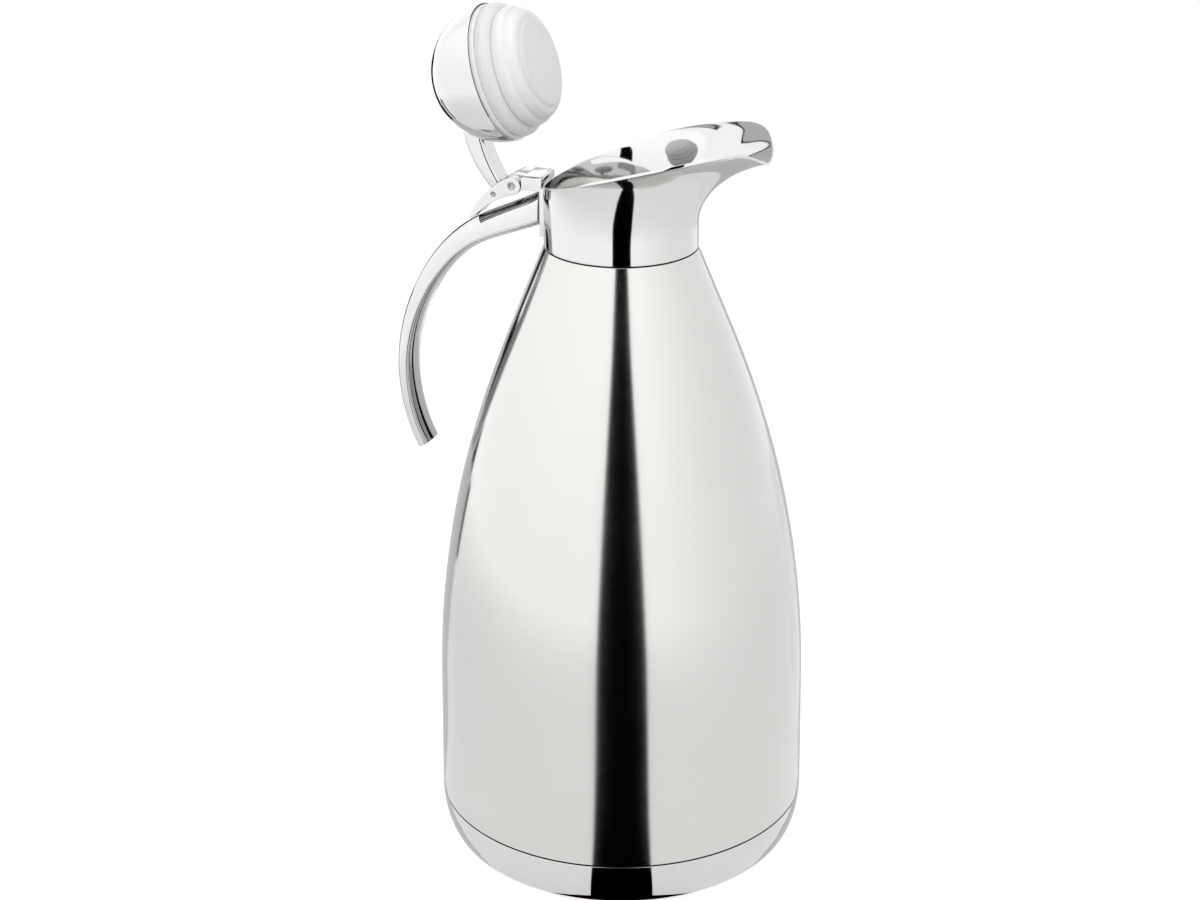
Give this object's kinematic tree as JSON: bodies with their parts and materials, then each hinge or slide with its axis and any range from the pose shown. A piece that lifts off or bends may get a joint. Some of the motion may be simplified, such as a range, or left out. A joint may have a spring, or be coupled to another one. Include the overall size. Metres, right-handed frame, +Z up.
{
  "type": "vacuum jug",
  "caption": "Double-walled steel vacuum jug with a pouring collar, a free-ended curved handle and a ball lid with stopper that turns on a pin above the handle, worked by a thumb lever.",
  "frame": {"origin": "on the jug's axis in the plane of its standing ring", "axes": "+Z up along the jug's axis, +X towards the spout, the handle at -X"},
  "size_m": [0.1583, 0.14, 0.32],
  "materials": {
    "satin_steel": "finely brushed",
    "polished_steel": "mirror polished",
    "flask_steel": "drawn sheet",
    "foil": "bright foil",
    "getter_metal": "sintered",
    "copper": "plain copper",
    "hinge_chrome": "mirror polished",
    "handle_chrome": "mirror polished",
    "fastener_steel": "turned",
    "stopper_plastic": "milky, satin",
    "silicone": "milky, soft",
    "foam": "open cell foam"
  },
  "bodies": {
    "jug": {"outer_shell": "satin_steel", "base_cup": "polished_steel", "spout_collar": "polished_steel", "inner_flask": "flask_steel", "vacuum_base": "flask_steel", "radiation_foil": "foil", "getter": "getter_metal", "pinch_off_tube": "copper", "hinge_bracket": "hinge_chrome", "handle": "handle_chrome", "handle_screw": "fastener_steel"},
    "lid": {"lid_dome": "polished_steel", "dome_stud": "fastener_steel", "lid_foam": "foam", "stopper_body": "stopper_plastic", "seal_ring": "silicone", "stopper_washer": "fastener_steel", "stopper_nut": "fastener_steel", "stopper_cap": "stopper_plastic", "lid_arm": "hinge_chrome", "arm_screws": "fastener_steel", "thumb_lever": "hinge_chrome", "arm_pin": "fastener_steel", "hinge_pin": "fastener_steel"}
  },
  "joints": [
    {"name": "lid_hinge", "type": "hinge", "parent": "jug", "child": "lid", "pos_m": [-0.0395, 0, 0.256], "axis": [0, 1, 0], "range_deg": [0, 108]}
  ]
}
